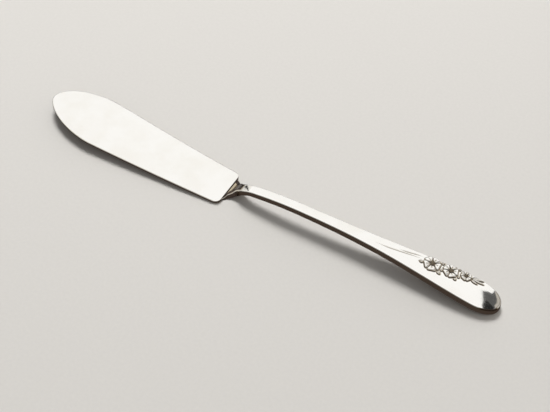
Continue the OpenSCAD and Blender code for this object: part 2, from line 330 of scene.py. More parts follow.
def cuttingEdge(d):
    half = blade["heelWidth"] / 2
    back, reach = blade["bellyBack"], blade["length"] - blade["bellyBack"]
    near = mix(blade["tipY"], half + blade["bellyOut"], bow(d / back, blade["bellyFull"]))
    run = np.clip(eased(np.maximum(d - back, 0) / reach, blade["bellyTurn"]), 0, 1)
    far = half - heelCorner(d) + blade["bellyOut"] * (1 - run) ** blade["bellyRun"]
    return np.where(d < back, near, far)


def spineEdge(d):
    half = blade["heelWidth"] / 2
    back, reach = blade["spineBack"], blade["length"] - blade["spineBack"]
    near = mix(blade["tipY"], -half - blade["spineOut"], bow(d / back, blade["spineFull"]))
    far = heelCorner(d) - half - blade["spineOut"] * (1 - (np.maximum(d - back, 0) / reach) ** 2)
    return np.where(d < back, near, far)


def bladeMiddle(d):
    return (cuttingEdge(d) + spineEdge(d)) / 2


def bladeLow(p):
    return -p[:, 0] * blade["tipLift"] / blade["length"]


def bladeTop(p):
    middle = bladeMiddle(np.clip(p[:, 0] + blade["length"], *blade["crownRun"]))
    away = (p[:, 1] - middle) / blade["crownHalf"]
    return bladeLow(p) + blade["thickness"] - blade["crown"] * away**2


def buildBlade():
    length, corner = blade["length"], blade["heelCorner"]
    tipSteps, runSteps, cornerSteps, heelSteps = 61, 71, 11, 22
    toTip = blade["spineBack"] * (1 - np.cos(np.linspace(0, math.pi / 2, tipSteps)[1:]))
    run = np.linspace(toTip[-1], length - corner, runSteps)[1:]
    turn = length - corner * (1 - np.sin(np.linspace(0, math.pi / 2, cornerSteps)[1:]))
    back = np.concatenate([toTip, run, turn])
    x = back - length
    cut, spine = cuttingEdge(back), spineEdge(back)
    heel = np.linspace(cut[-1], spine[-1], heelSteps)[1:-1]
    coreBack = np.clip(back, blade["coreTip"], length - blade["coreHeel"])
    coreLine = np.column_stack([coreBack - length, bladeMiddle(coreBack)])
    tip = np.array([[-length, blade["tipY"]]])
    outline = np.vstack([
        tip, np.column_stack([x, cut]), np.column_stack([heel * 0, heel]),
        np.column_stack([x, spine])[::-1]])
    core = np.vstack([coreLine[:1], coreLine, np.repeat(coreLine[-1:], len(heel), 0), coreLine[::-1]])
    normal = outward(outline, True)
    side = glide((1 + normal[:, 1]) / 2)
    heelward = glide(np.maximum(normal[:, 0], 0))
    rounding = mix(blade["spineRounding"], blade["edgeRounding"], side)
    topR = mix(rounding, blade["heelRounding"], heelward)
    lowR = mix(rounding, blade["heelLowRounding"], heelward)
    rows = plate(outline, core, True, bladeTop, bladeLow, topR, lowR, blade["lowDeep"],
                 np.linspace(0, 0.93, 14))
    return makePiece("knifeBlade", [shell(rows, loop=True)], polishedPlate, "blade")


neck = {
    "length": 12,
    "slimWidth": 3.1,
    "height": 6.7,
    "fade": 4.6,  # how fast it narrows behind the heel
    "coveHeight": 0.25,  # of the small hollow against the heel
    "coveLength": 0.6,
    # height of the upper side, rounding of its corners and share of the rise underneath
    "top": [(0, 0.9), (1.1, 0.93), (1.6, 1.28), (2.4, 2.12), (3.4, 3.08), (4.4, 3.97), (5.4, 4.68),
            (6.4, 5.22), (7.4, 5.64), (8.4, 5.96), (9.6, 6.24), (10.8, 6.5), (12, 6.7)],
    "shoulder": [(0, 1.0), (0.8, 1.7), (2.8, 1.0), (4.4, 0.72), (6, 0.45), (7.8, 0.3), (12, 0.2)],
    "low": [(0, 0), (0.1, 0.01), (0.22, 0.12), (0.38, 0.38), (0.55, 0.67), (0.75, 0.89), (1, 1)],
    "cornerRise": 0.25,  # of the lower corners, as a share of the height
    "shoulderRise": (0.4, 0.68),  # of the upper ones, at the heel and where their run ends
    "riseRun": 3,
    "shoulderSquare": 1.75,  # how square they start, and where they are round
    "squareRun": 6,
    "lean": 0.75,  # how far the foot leans over to the cutting side
    "leanStart": 1.2,
    "nearLean": 0.8,  # how much farther its near arris does, and how far that one is lifted
    "nearLift": 0.35,
    # painted shade and painted dark reflection along the upper side, in a line at the heel and down the
    # far side
    "filmAndShade": [(0, 0.37), (1.5, 0.37), (2, 0.6), (2.8, 0.74), (5, 0.7), (6, 0.13), (7, 0.12), (8.2, 0.1),
             (9.2, 0), (20, 0)],
    "heelPaintedShade": [(0, 0.9), (0.32, 0.9), (0.48, 0), (12, 0)],
    "sidePaintedShade": [(0, 0.85), (1.5, 0.75), (4.5, 0.62), (6, 0), (12, 0)],
    "shadeBend": 1.3,  # how far its end bends round the corners, and up to where
    "bendRun": 5,
    "nearPaintedShade": 0.8,  # painted shade in the near corner and under its arris
    # where each of these starts to fade along the neck, and over what run
    "leanEase": (2.5, 3),
    "nearEase": (2.5, 5),
    "lowShadeEase": (4.5, 1.5),
    "cornerEase": (1.2, 0.8),
    "arrisEase": (4, 1.5),
    # the same for the painted shade on the near side, from the edge inward
    "edgeClear": (0.3, 0.2),
    "cornerStart": (0.45, 0.25),
    "cornerStop": (2.2, 0.4),
    "arrisStop": (0.02, 0.08),
}


def buildNeck():
    length = neck["length"]
    s = np.concatenate([[0, 0.002], np.linspace(0.006, 0.99, 150), [0.996, 1]])
    x = s * length
    heelHalf = blade["heelWidth"] / 2 - blade["heelCorner"]
    slim = mix(neck["slimWidth"] / 2, heelHalf, fade(s, neck["fade"]))
    half = mix(slim, handle["waistWidth"] / 2, s**4)
    cove = neck["coveHeight"] * (1 - np.clip(x / neck["coveLength"], 0, 1)) ** 2
    high = through(neck["top"], x) + cove
    low = (neck["height"] - handle["waistThickness"]) * through(neck["low"], s)
    crown = crownAt(np.array([handleX]))[0] * s
    early = glide(2 * s)
    shoulder = through(neck["shoulder"], x)
    square = mix(neck["shoulderSquare"], 1, glide(x / neck["squareRun"]))
    shoulderRise = mix(*neck["shoulderRise"], glide(x / neck["riseRun"]))
    corners = [  # rounding, rise, side, up or down and height: spine, edge, edge, spine
        (mix(blade["spineRounding"], handle["lowRounding"], early), neck["cornerRise"], -1, -1, low),
        (mix(blade["edgeRounding"], handle["lowRounding"], early), neck["cornerRise"], 1, -1, low),
        (shoulder, shoulderRise, 1, 1, high),
        (shoulder, shoulderRise, -1, 1, high)]
    cornerSteps, ridgeSteps = 13, 9  # columns round a corner, and from the flat's edge to its middle
    columns = []
    for i, (wide, share, side, up, edge) in enumerate(corners):
        wide = np.minimum(wide, 0.9 * half)
        tall = np.minimum(wide, share * (high - low))
        for a in np.radians(np.linspace(180 + 90 * i, 270 + 90 * i, cornerSteps)):
            power = square if up > 0 else 1
            across, rise = [np.sign(v) * abs(round(v, 9)) ** power for v in (math.cos(a), math.sin(a))]
            columns.append((side * (half - wide) + wide * across, edge - up * tall + tall * rise))
        if i == 2:
            flat = half - wide
            for v in np.concatenate([[0.97], np.linspace(0.9, -0.9, 2 * ridgeSteps - 1), [-0.97]]):
                columns.append((v * flat, high + crown * (1 - v * v)))
    rows = np.array([[x, y, z] for y, z in columns]).transpose(2, 0, 1)

    edgeSide, shoulderStart, flatStart = (k * cornerSteps for k in (1, 2, 3))
    ridge = flatStart + ridgeSteps
    started = glide(x / neck["leanStart"])
    lean = neck["lean"] * started * easeOff(x, *neck["leanEase"])
    rows[:, edgeSide:, 1] += lean[:, None]
    nearness = glide(0.5 - rows[:, flatStart:, 1] / (2 * half[:, None]))
    drawn = (started * easeOff(x, *neck["nearEase"]))[:, None] * nearness
    rows[:, flatStart:, 1] += neck["nearLean"] * drawn
    rows[:, flatStart:, 2] += neck["nearLift"] * drawn

    # painted shade and painted dark reflection on the neck, darkest on the slope near the heel
    filmAndShade = np.zeros(rows.shape[:2])
    # painted shade on the near lower corner
    filmAndShade[:, : cornerSteps // 2] = neck["nearPaintedShade"] * easeOff(x, *neck["lowShadeEase"])[:, None]
    for j in range(shoulderStart, len(columns)):  # painted shade and painted dark reflection on the upper corners and the top
        across = columns[j][0]
        inward = half - np.abs(across)
        bent = x + neck["shadeBend"] * (across / half) ** 2 * np.clip(1 - x / neck["bendRun"], 0, 1)
        paintedShade = np.maximum(through(neck["filmAndShade"], bent), through(neck["heelPaintedShade"], x))
        if j < flatStart:
            paintedShade = through(neck["sidePaintedShade"], x)
        elif j > ridge:
            corner = easeIn(inward, *neck["cornerStart"]) * easeOff(inward, *neck["cornerStop"])
            corner = corner * easeOff(x, *neck["cornerEase"])
            arris = easeOff(inward, *neck["arrisStop"]) * easeOff(x, *neck["arrisEase"])
            paintedShade = np.maximum(paintedShade * easeIn(inward, *neck["edgeClear"]), neck["nearPaintedShade"] * corner)
            paintedShade = np.maximum(paintedShade, neck["nearPaintedShade"] * arris)
        filmAndShade[:, j] = paintedShade
    return makePiece("knifeNeck", [shell(rows, filmAndShade, loop=True)], polishedPlate, "neck")


handle = {
    "length": 89.5,
    "waistWidth": 3.4,
    "waistLength": 8,
    "widen": 1.65,  # how late it widens
    "endWidth": 10.3,
    "endBack": 8.5,
    "endFull": 2.1,
    "waistThickness": 2.6,
    "endThickness": 3,
    "thicken": 0.5,  # share of the length over which it grows to that
    "archHeight": 7.9,
    "archBack": 18,
    "archRise": 2.2,
    "archFall": 2.4,
    "crown": 0.25,
    "topRounding": 0.2,
    "endRounding": 0.5,  # round the end of the top face
    "lowRounding": 0.6,
    "rimPaintedShade": 0.8,  # painted shade: a dark line under the near corner of the end
    "firstRows": (0, 0.05, 0.15),  # close together, to keep the joint with the neck smooth
    "fineRun": 34,  # length at the end whose rows are fine enough for the relief
    "coreBack": 6,  # how far from the end the middle line of the rows stops
}
handleX = neck["length"]
endX = handleX + handle["length"]
archX = handleX + handle["archBack"]
restX = endX - handle["endThickness"] / 2
widestX = endX - handle["endBack"]


def widened(x):
    run = widestX - handleX - handle["waistLength"]
    return glide(np.clip((x - handleX - handle["waistLength"]) / run, 0, 1) ** handle["widen"])


def handleHalf(x):
    near = mix(handle["waistWidth"], handle["endWidth"], widened(x)) / 2
    far = handle["endWidth"] / 2 * bow((endX - x) / handle["endBack"], handle["endFull"])
    return np.where(x < widestX, near, far)


def handleT(x):
    grown = glide((x - handleX) / (handle["length"] * handle["thicken"]))
    return mix(handle["waistThickness"], handle["endThickness"], grown)


def archTop(x):
    high, restT = handle["archHeight"], handleT(restX)
    rise = (1 - np.clip((x - handleX) / handle["archBack"], 0, 1)) ** handle["archRise"]
    fall = np.maximum((x - archX) / (restX - archX), 0) ** handle["archFall"]
    return np.where(x < archX, high - (high - neck["height"]) * rise, high - (high - restT) * fall)


def crownAt(x):
    return handle["crown"] * np.minimum(1, 2 * handleHalf(x) / handle["endWidth"])


def crowned(x, y):  # the upper face without its rounded edge
    flat = np.maximum(handleHalf(x) - handle["topRounding"], 0.3)
    return archTop(x) + crownAt(x) * np.maximum(0, 1 - (y / flat) ** 2)


def handleTop(p):
    return crowned(p[:, 0], p[:, 1])


def handleLow(p):
    x = np.minimum(p[:, 0], restX)
    return archTop(x) - handleT(x)


def skinZ(x, y):  # the upper face with its rounded edge
    half, r, step = handleHalf(x), handle["topRounding"], 0.05
    lean = (handleHalf(x + step) - handleHalf(x - step)) / (2 * step)
    depth = (half - np.abs(y)) / np.sqrt(1 + np.clip(lean, -4, 4) ** 2)
    out = np.clip(r - depth, 0, r)
    return crowned(x, y) - r + np.sqrt(r * r - out * out)


relief = {
    "trailBack": 25,  # from the first blossom to the handle's end
    "blossomHeight": 0.55,
    "leafHeight": 0.4,
    "petals": 5,
    "blossomRadii": (0.68, 0.54, 0.36),  # shares of half the handle's width
    "blossomPlaces": (0.4, 0.52, 0.7),
    "blossomGaps": (1.23, 1.18),
    "heart": 0.3,
    "heartGap": 0.86,
    "heartDome": (0.45, 0.25),  # shares of the height: of its rim, and from there to its middle
    "heartFoot": -0.3,
    "heartFilm": 0.9,
    "beads": 7,  # round the middle one of each heart
    "beadReach": 0.68,  # shares of the heart's radius
    "beadSizes": (0.36, 0.27),  # the middle one and the others
    "beadSeat": 0.6,  # share of the height
    "beadFilm": 0.75,
    "petalWidth": 0.9,
    "petalFull": 0.8,
    "petalSpine": (0.25, 0.72),  # from where to where its middle line runs
    "leafFull": 0.8,
    "leafSpine": (0.12, 0.88),
    "notch": 0.07,  # depth of the one in a petal's outer end
    "notchWidth": 0.45,
    # leaves: blossom, angle round it, then start, length and width as shares of its radius
    "leaves": [(0, -163, 1.06, 0.42, 0.3), (0, -33, 1.08, 0.5, 0.32), (0, -10, 1.1, 0.32, 0.3),
               (0, 34, 1.08, 0.4, 0.28), (1, -42, 1.08, 0.36, 0.32), (1, -14, 1.1, 0.3, 0.3),
               (1, 44, 1.08, 0.36, 0.28)],
    "spray": [(13.5, 1.1, 2.1, 0.34), (2, 1.1, 2.3, 0.34), (-12, 1.12, 1.3, 0.32)],
    # depth of the middle vein as a share of the height, its width, where it ends and over what run
    "vein": {"petal": (0.26, 0.13, 0.8, 0.3), "leaf": (0.3, 0.09, 0.97, 0.1),
             "spray": (0.16, 0.09, 0.97, 0.1)},
    "sideVein": (0.1, 0.1, 0.85, 0.3),  # of a petal
    "sideVeinPlace": 0.5,  # share of the half width
    "rib": {"leaf": 0.07, "spray": 0.02},
    "ribGap": 0.42,
    "ribSlope": 0.9,
    "ribFade": 0.15,
    "veinFilm": {"petal": 0.4, "leaf": 0.55, "spray": 0.55},
    "veinFilmRate": 2.2,
    "edgeHeight": 0.5,  # share of the height that a motif has at its edge
    "domeFull": 2.4,
    "wall": [(0.3, 0.35), (0.12, 0.6), (-0.45, 0.9)],  # share of the height, and film
    "hiddenFilm": 0.9,  # under a motif
    "grooveDepth": 0.14,  # of the cut line round each motif
    "grooveWidth": 0.24,
    "grooveFilm": 0.5,
    "threads": [(-0.12, 0.42, 1), (0.42, 0.7, 0.5)],  # places across, from and to, and length
    "threadLength": 16,
    "threadWidth": 0.42,
    "threadHeight": 0.16,
    "threadTip": 0.15,  # share of the width that it has at its ends
    "threadFoot": 0.1,
    "threadSideFilm": 0.24,
    "threadGroove": 0.02,
    "threadGrooveWidth": 0.2,
    "threadFilm": 0.06,
}


def placeBlossoms():
    made = []
    for i, share in enumerate(relief["blossomRadii"]):
        if i == 0:
            x = endX - relief["trailBack"]
        else:
            before = made[-1]
            ratio = 1 + share / relief["blossomRadii"][i - 1]
            x = before[0] + relief["blossomGaps"][i - 1] * before[2] * ratio
        half = float(handleHalf(np.array(x)))
        made.append((x, half * relief["blossomPlaces"][i], half * share))
    return made


blossoms = placeBlossoms()


def turned(u, v, degrees, at):
    c, s = math.cos(math.radians(degrees)), math.sin(math.radians(degrees))
    return np.stack([at[0] + u * c - v * s, at[1] + u * s + v * c], -1)


def petalOutline(r, points=60):
    a = np.linspace(0, 2 * math.pi, points, endpoint=False)
    inner = r * relief["heart"]
    u = mix(inner, r, (1 - np.cos(a)) / 2)
    sector = math.tan(math.pi / relief["petals"]) * relief["petalWidth"]
    v = u * sector * np.sign(np.sin(a)) * np.abs(np.sin(a)) ** relief["petalFull"]
    u = u - relief["notch"] * r * bump(a - math.pi, relief["notchWidth"])
    return u, v, np.clip(u, *(mix(inner, r, share) for share in relief["petalSpine"]))


def leafOutline(start, length, width, points=48):
    a = np.linspace(0, 2 * math.pi, points, endpoint=False)
    s = (1 - np.cos(a)) / 2
    v = np.sign(np.sin(a)) * width / 2 * np.sin(math.pi * s ** relief["leafFull"])
    u = start + s * length
    return u, v, np.clip(u, *(start + share * length for share in relief["leafSpine"]))


def motifs():  # every raised form: kind, blossom, place, turn, outline in its own axes and height
    made = []
    for i, (x, y, r) in enumerate(blossoms):
        for k in range(relief["petals"]):
            turn = 360 * k / relief["petals"] + 90 / relief["petals"] * i
            made.append(("petal", i, (x, y), turn, petalOutline(r), relief["blossomHeight"]))
    last = len(blossoms) - 1
    leaves = [("leaf", *row) for row in relief["leaves"]]
    leaves += [("spray", last, *row) for row in relief["spray"]]
    for kind, i, turn, start, length, width in leaves:
        x, y, r = blossoms[i]
        outline = leafOutline(r * start, r * length, r * width)
        made.append((kind, i, (x, y), turn, outline, relief["leafHeight"]))
    return made


allMotifs = motifs()


def motifShell(motif):
    kind, _, at, turn, (u, v, middle), height = motif
    length = np.ptp(u)
    depth, width, stop, run = relief["vein"][kind]
    sideDepth, sideWidth, sideStop, sideRun = relief["sideVein"]
    edge, ribGap, ribSlope = relief["edgeHeight"], relief["ribGap"], relief["ribSlope"]
    rows, patinaAndShade = [], []
    for k in np.concatenate([np.linspace(0, 0.9, 11), [0.96, 1]]):
        pu, pv = mix(middle, u, k), v * k
        along = (pu - u.min()) / length
        lift = edge + (1 - edge) * np.sqrt(np.maximum(0, 1 - k ** relief["domeFull"]))
        vein = depth * bump(pv, width) * glide((stop - along) / run)
        if kind == "petal":
            aside = np.abs(pv) - relief["sideVeinPlace"] * np.abs(v).max() * along
            vein = vein + sideDepth * bump(aside, sideWidth) * glide((sideStop - along) / sideRun)
        else:
            rib = np.sin((along * length - np.abs(pv) * ribSlope) / ribGap * math.pi)
            vein = vein + relief["rib"][kind] * np.maximum(rib, 0) * glide(np.abs(pv) / relief["ribFade"])
        p = turned(pu, pv, turn, at)
        z = skinZ(p[:, 0], p[:, 1]) + height * (lift - vein)
        rows.append(np.column_stack([p, z]))
        patinaAndShade.append(np.clip(vein * relief["veinFilmRate"], 0, 1) * relief["veinFilm"][kind])
    p = turned(u, v, turn, at)
    base = skinZ(p[:, 0], p[:, 1])
    for share, dark in relief["wall"]:
        rows.append(np.column_stack([p, base + height * share]))
        patinaAndShade.append(np.full(len(u), dark))
    heart = turned(middle, v * 0, turn, at)
    lowest = relief["wall"][-1][0]
    rows.append(np.column_stack([heart, skinZ(heart[:, 0], heart[:, 1]) + height * lowest]))
    patinaAndShade.append(np.ones(len(u)))
    return shell(np.array(rows), np.array(patinaAndShade), loop=True)


def heartShells(at, r):  # a low dome with a bead in its middle and a ring of beads
    radius = r * relief["heart"] * relief["heartGap"]
    height, count = relief["blossomHeight"], relief["beads"]
    foot = relief["heartFoot"] * height
    domeRim, domeRise = relief["heartDome"]
    middleBead, ringBead = relief["beadSizes"]
    ring = [(relief["beadReach"], 360 * k / count, ringBead) for k in range(count)]
    a = np.linspace(0, 2 * math.pi, 40, endpoint=False)
    made = []
    for reach, turn, size in [(0, 0, 1), (0, 0, middleBead), *ring]:
        cx = at[0] + radius * reach * math.cos(math.radians(turn))
        cy = at[1] + radius * reach * math.sin(math.radians(turn))
        seat = skinZ(np.array(cx), np.array(cy))
        profile = []  # how far out, how high and how dark each row is
        for k in np.linspace(0, 1, 9):
            out, up = math.sin(k * math.pi / 2), math.cos(k * math.pi / 2)
            if size == 1:
                rise, dark = height * (domeRim + domeRise * up), relief["heartFilm"]
            else:
                rise, dark = height * relief["beadSeat"] + radius * size * up, relief["beadFilm"] * k**2
            profile.append((radius * size * out, rise, dark))
        profile += [(radius * size, foot, 1), (0, foot, 1)]
        rows, patinaAndShade = [], []
        for out, rise, dark in profile:
            high = np.full(len(a), seat + rise)
            rows.append(np.column_stack([cx + out * np.cos(a), cy + out * np.sin(a), high]))
            patinaAndShade.append(np.full(len(a), dark))
        made.append(shell(np.array(rows), np.array(patinaAndShade), loop=True))
    return made


def threadLine(fromShare, toShare, lengthShare):
    stop = blossoms[0][0] - blossoms[0][2] - 2 * relief["threadWidth"]
    s = np.linspace(0, 1, 90)
    x = stop - relief["threadLength"] * lengthShare * (1 - s)
    thin = mix(relief["threadTip"], 1, glide(3 * np.minimum(s, 1 - s)))
    return x, handleHalf(x) * mix(fromShare, toShare, glide(s)), thin


def threadShell(x, y, thin):
    columns, patinaAndShade = [], []
    for a in np.linspace(0, math.pi, 13):
        q = y + relief["threadWidth"] * thin * math.cos(a) / 2
        columns.append((x, q, skinZ(x, q) + relief["threadHeight"] * thin * math.sin(a)))
        patinaAndShade.append(relief["threadSideFilm"] * thin * (1 - math.sin(a)) ** 0.5)
    for across in (-0.5, 0.5):
        q = y + relief["threadWidth"] * thin * across
        columns.append((x, q, skinZ(x, q) - relief["threadFoot"]))
        patinaAndShade.append(relief["threadSideFilm"] * thin)
    rows = np.array(columns).transpose(2, 0, 1)
    return shell(rows, np.array(patinaAndShade).T, loop=True)


def distanceTo(points, outline):  # signed distance in plan: below zero inside
    ends = np.roll(outline, -1, 0)
    side = ends - outline
    gap = points[:, None, :] - outline[None]
    t = np.clip((gap * side).sum(2) / np.maximum((side**2).sum(1), 1e-12), 0, 1)
    far = np.sqrt(((gap - side * t[..., None]) ** 2).sum(2)).min(1)
    crosses = (outline[:, 1] > points[:, 1:2]) != (ends[:, 1] > points[:, 1:2])
    rise = np.where(np.abs(side[:, 1]) < 1e-12, 1e-12, side[:, 1])
    at = outline[:, 0] + (points[:, 1:2] - outline[:, 1]) * side[:, 0] / rise
    inside = (crosses & (points[:, :1] < at)).sum(1) % 2 == 1
    return np.where(inside, -far, far)


def reliefDistance(points):  # to the nearest motif, if one is near
    farAway, margin = 9.0, 1
    near = np.full(len(points), farAway)
    zone = points[:, 0] > endX - handle["fineRun"] + margin
    for _, _, at, turn, (u, v, _), _ in allMotifs:
        outline = turned(u, v, turn, at)
        low, high = outline.min(0) - margin, outline.max(0) + margin
        found = np.where(zone & ((points > low) & (points < high)).all(1))[0]
        if len(found):
            near[found] = np.minimum(near[found], distanceTo(points[found], outline[::2]))
    return near


def besideThreads(x, y):  # 1 at the foot of a thread, fading over the width of its cut line
    beside = np.zeros(x.shape)
    for row in relief["threads"]:
        lineX, lineY, lineThin = threadLine(*row)
        inside = (x > lineX[0]) & (x < lineX[-1])
        thin = np.interp(x, lineX, lineThin)
        off = np.abs(y - np.interp(x, lineX, lineY)) - 0.5 * relief["threadWidth"] * thin
        cut = bump(np.maximum(off, 0), relief["threadGrooveWidth"])
        beside = np.maximum(beside, inside * cut * thin)
    return beside


def buildHandle():
    plainSteps, fineSteps, arcSteps, rimSteps = 150, 180, 121, 10
    fineX = endX - handle["fineRun"]
    plain = np.linspace(handleX, fineX, plainSteps)[1:]
    fine = np.linspace(fineX, widestX, fineSteps)[1:]
    x = np.concatenate([handleX + np.array(handle["firstRows"]), plain, fine])
    arc = np.linspace(math.pi / 2, 0, arcSteps)[1:]
    arcX = widestX + handle["endBack"] * np.cos(arc) ** (2 / handle["endFull"])
    arcY = handle["endWidth"] / 2 * np.sin(arc) ** (2 / handle["endFull"])
    side = np.column_stack([np.concatenate([x, arcX]), np.concatenate([handleHalf(x), arcY])])
    core = np.column_stack([np.minimum(side[:, 0], endX - handle["coreBack"]), side[:, 0] * 0])
    outline = np.vstack([side, side[-2::-1] * [1, -1]])
    core = np.vstack([core, core[-2::-1]])
    normal = outward(outline, False)
    endward = glide(np.maximum(normal[:, 0], 0)) * glide((normal[:, 1] + 0.95) / 0.7)
    topR = mix(handle["topRounding"], handle["endRounding"], endward)
    lowR = np.full(len(outline), handle["lowRounding"])
    inner = np.linspace(0, 0.985, 44)
    rows = plate(outline, core, False, handleTop, handleLow, topR, lowR, handle["lowRounding"], inner,
                 rimSteps, lowRows=8)
    patinaAndShade = np.zeros(rows.shape[:2])

    skin = slice(0, len(inner) + 7)  # the face and the upper half of its rounding, cut round the relief
    x, y = rows[skin, :, 0], rows[skin, :, 1]
    near = reliefDistance(np.column_stack([x.ravel(), y.ravel()])).reshape(x.shape)
    cut = bump(near, relief["grooveWidth"])
    rows[skin, :, 2] -= relief["grooveDepth"] * np.where(near > 0, cut, 1)
    patinaAndShade[skin] = np.where(near > 0, relief["grooveFilm"] * cut, relief["hiddenFilm"])
    beside = besideThreads(x, y)
    rows[skin, :, 2] -= relief["threadGroove"] * beside
    patinaAndShade[skin] = np.maximum(patinaAndShade[skin], relief["threadFilm"] * beside)

    rim = slice(len(inner) + 2, len(inner) + 2 + rimSteps)
    # painted shade on the near side of the end's rim
    shade = glide((-normal[:, 1] - 0.35) / 0.2) * glide((normal[:, 0] - 0.15) / 0.15)
    patinaAndShade[rim] = np.maximum(patinaAndShade[rim], handle["rimPaintedShade"] * shade)
    return makePiece("knifeHandle", [shell(rows, patinaAndShade)], polishedPlate, "handle")


shift = np.array([  # from the heel to the middle of the outline
    (blade["length"] - endX) / 2, (blade["spineOut"] - blade["bellyOut"]) / 2, 0])
buildBlade()
buildNeck()
print("blade and neck made")
buildHandle()
print("handle made")

for i, name in enumerate(("largeBlossom", "middleBlossom", "smallBlossom")):
    petals = [motifShell(motif) for motif in allMotifs if motif[:2] == ("petal", i)]
    makePiece(name, petals, polishedPlate, "blossoms")
for kind, name, node in (("leaf", "blossomLeaves", "leaves"), ("spray", "endLeafSpray", "end_leaf_spray")):
    forms = [motifShell(motif) for motif in allMotifs if motif[0] == kind]
    makePiece(name, forms, polishedPlate, node)
hearts = [part for x, y, r in blossoms for part in heartShells((x, y), r)]
makePiece("blossomHearts", hearts, oxidisedPlate, "blossom_centres")
threads = [threadShell(*threadLine(*row)) for row in relief["threads"]]
makePiece("stemThreads", threads, polishedPlate, "stem_thread")
print("relief made")

studio = {
    "floor": "#dedbd6",
    "floorSize": 6.0,  # m
    "boardGrain": 10 / 9,  # mm across a fleck
    "keyFrom": (-0.4, 0.57, 1.0),
    "keyDistance": 1.3,  # m
    "keySize": 0.5,  # m across
    "keyPower": 12.2,  # W
    "horizonSeen": 0.66,  # what the camera and the metal see
    "windowSeen": 0.92,
    "roomSeen": 0.14,
    "windowFrom": (-20, 40),
    "skyLight": 0.2,  # what lights the floor
    "reach": 6.0,  # m from the knife to the cards
    "foot": 9,  # degrees of elevation where the cards start
    "window": 1.0,  # how bright each card is
    "dark": 0.1,
    "black": 0.02,
    "blackNear": 0.8,  # it stands nearer, in front of the others
    "wall": "#eee7dd",
    "wallNear": 0.55,  # how bright the wall is beside the window and at its far end
    "wallFar": 0.78,
    "wallStop": 80,  # degrees of azimuth
    "stripWidth": 5,
    "back": "#f7f3ec",
    "backSeen": 0.62,
    "backStop": 285,
    "backWidth": 41,
    "backFoot": 7,
    "backTop": 62,
    "table": "#40362f",
    "tableSize": 1.2,  # m
}


def direction(azimuth, elevation):  # azimuth from +Y toward +X
    a, e = math.radians(azimuth), math.radians(elevation)
    return Vector((math.sin(a) * math.cos(e), math.cos(a) * math.cos(e), math.sin(e)))


def level(start, stop, elevation):  # corners along one elevation, a few degrees apart
    steps = max(2, round(abs(stop - start) / 6) + 1)
    return [(azimuth, elevation) for azimuth in np.linspace(start, stop, steps)]


def square(size, height):
    return [(x * size / 2, y * size / 2, height) for x, y in ((-1, -1), (1, -1), (1, 1), (-1, 1))]


def studioCard(name, points, colour, brightness):
    # A card or diffuser that stands round the knife and is seen only in its reflections.
    mesh = bpy.data.meshes.new(name)
    mesh.from_pydata(points, [], [list(range(len(points)))])
    material = bpy.data.materials.new(name)
    material.use_nodes = True
    tree = material.node_tree
    tree.nodes.clear()
    light = addNode(tree, "ShaderNodeEmission", inputs={"Color": linear(colour), "Strength": brightness})
    addNode(tree, "ShaderNodeOutputMaterial", inputs={"Surface": light.outputs["Emission"]})
    mesh.materials.append(material)
    card = bpy.data.objects.new(name, mesh)
    bpy.context.scene.collection.objects.link(card)
    card.visible_camera = False
    return card


def skyCard(name, corners, brightness, near=1.0, colour="#ffffff"):
    points = [direction(*corner) * studio["reach"] * near for corner in corners]
    return studioCard(name, points, colour, brightness)


# azimuth and elevation of the edges that the cards share
windowSide = [(13.8, 40.5), (14.2, 42.5), (14.3, 44.1), (14.2, 46.3), (13, 46.7), (12.1, 47.8),
              (11.6, 49.9), (14.6, 54.1), (17.8, 57.3), (22.4, 60.8), (24, 61.6), (45, 66)]
frameSide = [(-50.8, 9), (-51.8, 17), (-53.1, 25), (-54.2, 30.5), (-55.5, 36), (-60, 60)]
wallTop = [(35, 56.4), (75, 58)]
cardSide = [(14.9, 41.2), (15.1, 42.6), (16.4, 43.6), (18.1, 45.3), (20, 48), (22.5, 50.8),
            (24, 53.6), (27.5, 55.7), *wallTop]
foot, windowFoot, wallStop = studio["foot"], windowSide[0][0], studio["wallStop"]
skyCard("windowDiffuser", [
    *frameSide[::-1], *level(frameSide[0][0], windowFoot, foot), *windowSide, *level(45, -68, 80)],
    studio["window"])
skyCard("frameCard", [*frameSide[:5], (-56.3, 30.5), (-55.6, 25), (-54.6, 17), (-53.6, foot)],
        studio["black"])
skyCard("darkCard", [*windowSide, (75, 66), *cardSide[::-1]], studio["dark"])
skyCard("blackCard", [
    (18.2, 54.8), (19.6, 57.6), (21.6, 59.4), (25.5, 61.4), (46, 66), (100, 66), (100, 58),
    (35, 57.3), (28.7, 57.1), (22.2, 56.2)], studio["black"], near=studio["blackNear"])

# the beige wall grows paler in strips farther round, so that silver looks silver from there too
(wallStart, startTop), (laterWall, laterTop) = wallTop
skyCard("wallCard", [windowSide[0], *cardSide[:-1], *level(wallStart, windowFoot, foot)],
        studio["wallNear"], colour=studio["wall"])
for start in range(wallStart, wallStop, studio["stripWidth"]):
    stop = start + studio["stripWidth"]
    tops = [(azimuth, mix(startTop, laterTop, (azimuth - wallStart) / (laterWall - wallStart)))
            for azimuth in (start, stop)]
    paler = mix(studio["wallNear"], studio["wallFar"], (stop - wallStart) / (wallStop - wallStart))
    skyCard("wallStrip", [(start, foot), *tops, (stop, foot)], paler, colour=studio["wall"])
quiet = []
for start in range(wallStop, studio["backStop"], studio["backWidth"]):  # pale, behind the camera
    stop = start + studio["backWidth"]
    corners = [*level(start, stop, studio["backFoot"]), *level(stop, start, studio["backTop"])]
    quiet.append(skyCard("backCard", corners, studio["backSeen"], colour=studio["back"]))
# a dark card just over the floor darkens the metal's sides
quiet.append(studioCard("tableCard", square(studio["tableSize"], 0.02 * mm), studio["table"], 1.0))
for card in quiet:  # only the metal mirrors these
    card.visible_shadow = False
    card.visible_diffuse = False

